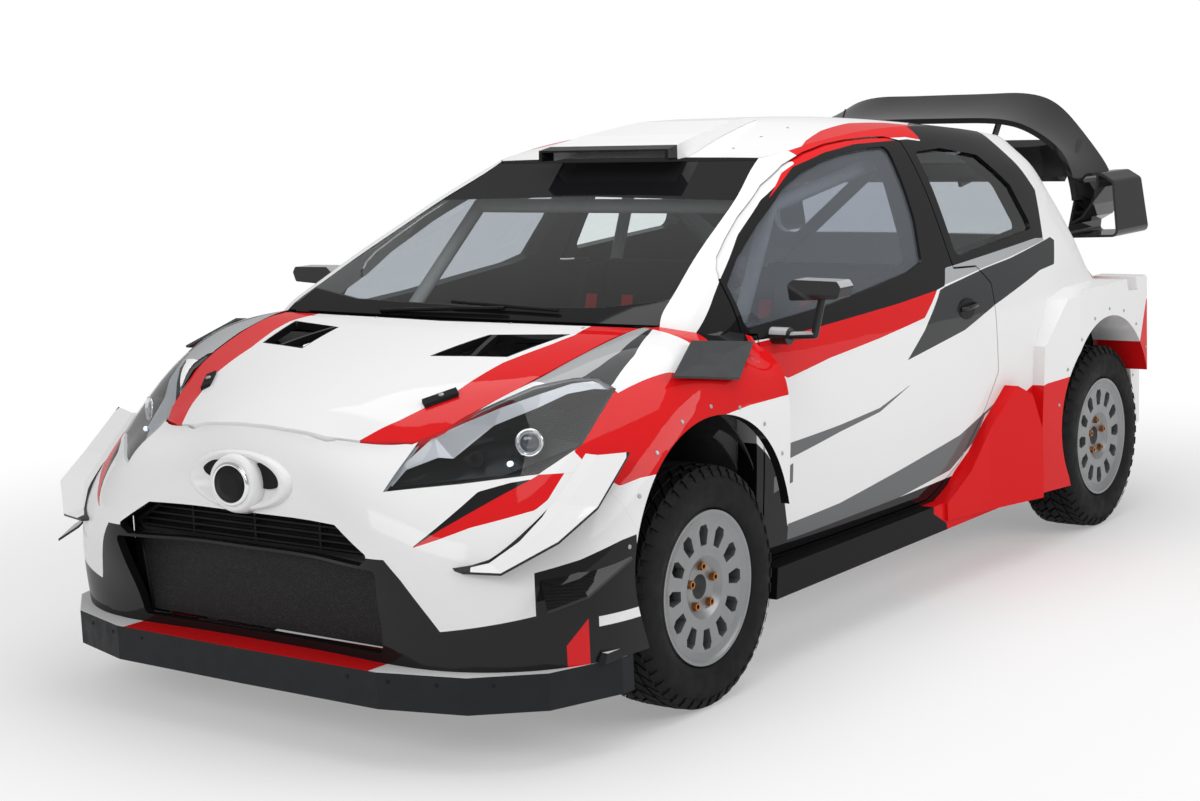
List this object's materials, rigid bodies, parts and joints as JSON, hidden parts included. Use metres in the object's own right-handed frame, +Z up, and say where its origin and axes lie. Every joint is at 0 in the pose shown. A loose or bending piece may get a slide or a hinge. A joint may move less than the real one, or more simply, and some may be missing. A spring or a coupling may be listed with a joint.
{
  "type": "three-door rally car",
  "caption": "Three-door rally hatchback with wide arches, splitter, canards, roof scoop and double rear wing; opening doors, bonnet and tailgate.",
  "frame": {"origin": "on the floor, at the middle of the car's length and width", "axes": "+Z up, +X to the car's left, the car faces -Y"},
  "size_m": [2.0618, 4.085, 1.5277],
  "materials": {
    "white_paint": "gloss",
    "red_paint": "gloss",
    "black_gloss": "gloss",
    "black_matte": "matte",
    "glass": "clear",
    "lens": "clear",
    "tyre": "matte",
    "alloy": "satin",
    "steel": "satin",
    "iron": "matte",
    "fabric": "matte"
  },
  "bodies": {
    "chassis": {"tub": "white_paint", "wheel_houses": "black_matte", "body_sides": "white_paint", "front_fenders": "white_paint", "roof_panel": "white_paint", "roof_scoop": "white_paint", "fixed_glass": "glass", "front_bumper": "white_paint", "lower_grille": "black_matte", "upper_grille": "black_gloss", "splitter": "black_matte", "canards": "black_gloss", "headlamps": "black_gloss", "headlamp_lenses": "lens", "tail_lamps": "red_paint", "rear_bumper": "white_paint", "diffuser": "black_matte", "side_skirts": "red_paint", "roll_cage": "steel", "seats": "fabric", "dashboard": "black_matte", "engine_block": "iron", "radiator": "alloy", "front_suspension": "steel", "rear_suspension": "steel", "exhaust": "steel", "scuttle": "black_matte"},
    "front_wheel_left": {"tyre_front_left": "tyre", "rim_front_left": "alloy"},
    "rear_wheel_left": {"tyre_rear_left": "tyre", "rim_rear_left": "alloy"},
    "front_knuckle_left": {"knuckle_left": "steel"},
    "door_body_left": {"door_left": "white_paint", "door_glass_left": "glass", "mirror_left": "black_gloss"},
    "front_wheel_right": {"tyre_front_right": "tyre", "rim_front_right": "alloy"},
    "rear_wheel_right": {"tyre_rear_right": "tyre", "rim_rear_right": "alloy"},
    "front_knuckle_right": {"knuckle_right": "steel"},
    "door_body_right": {"door_right": "white_paint", "door_glass_right": "glass", "mirror_right": "black_gloss"},
    "rack_body": {"steering_rack": "steel"},
    "steering_wheel_body": {"steering_wheel": "black_matte"},
    "bonnet_body": {"bonnet": "white_paint"},
    "tailgate_body": {"tailgate": "white_paint", "rear_glass": "glass", "rear_wing": "black_gloss"}
  },
  "joints": [
    {"name": "steer_left", "type": "hinge", "parent": "chassis", "child": "front_knuckle_left", "pos_m": [0.725, -1.218, 0.19], "axis": [-0.1849, 0, 0.9828], "range_deg": [-30, 30]},
    {"name": "front_wheel_spin_left", "type": "hinge", "parent": "front_knuckle_left", "child": "front_wheel_left", "pos_m": [0.808, -1.218, 0.3225], "axis": [1, 0, 0], "continuous": true},
    {"name": "rear_wheel_spin_left", "type": "hinge", "parent": "chassis", "child": "rear_wheel_left", "pos_m": [0.808, 1.293, 0.3225], "axis": [1, 0, 0], "continuous": true},
    {"name": "door_hinge_left", "type": "hinge", "parent": "chassis", "child": "door_body_left", "pos_m": [0.8, -0.755, 0.65], "axis": [0, 0, -1], "range_deg": [0, 65]},
    {"name": "steer_right", "type": "hinge", "parent": "chassis", "child": "front_knuckle_right", "pos_m": [-0.725, -1.218, 0.19], "axis": [0.1849, 0, 0.9828], "range_deg": [-30, 30]},
    {"name": "front_wheel_spin_right", "type": "hinge", "parent": "front_knuckle_right", "child": "front_wheel_right", "pos_m": [-0.808, -1.218, 0.3225], "axis": [1, 0, 0], "continuous": true},
    {"name": "rear_wheel_spin_right", "type": "hinge", "parent": "chassis", "child": "rear_wheel_right", "pos_m": [-0.808, 1.293, 0.3225], "axis": [1, 0, 0], "continuous": true},
    {"name": "door_hinge_right", "type": "hinge", "parent": "chassis", "child": "door_body_right", "pos_m": [-0.8, -0.755, 0.65], "axis": [0, 0, 1], "range_deg": [0, 65]},
    {"name": "rack_slide", "type": "slide", "parent": "chassis", "child": "rack_body", "axis": [1, 0, 0], "range_m": [-0.075, 0.075]},
    {"name": "steering_wheel_turn", "type": "hinge", "parent": "chassis", "child": "steering_wheel_body", "pos_m": [0.35, -0.33, 0.86], "axis": [0, 0.9372, 0.3489], "range_deg": [-365, 365]},
    {"name": "bonnet_hinge", "type": "hinge", "parent": "chassis", "child": "bonnet_body", "pos_m": [0, -1.138, 0.976], "axis": [-1, 0, 0], "range_deg": [0, 60]},
    {"name": "tailgate_hinge", "type": "hinge", "parent": "chassis", "child": "tailgate_body", "pos_m": [0, 1.302, 1.386], "axis": [1, 0, 0], "range_deg": [0, 55]}
  ],
  "couplings": [
    {"joint": "steer_right", "follows": "steer_left", "ratio": 1},
    {"joint": "rack_slide", "follows": "steer_left", "m_per_rad": -0.127},
    {"joint": "steering_wheel_turn", "follows": "steer_left", "ratio": 12}
  ]
}
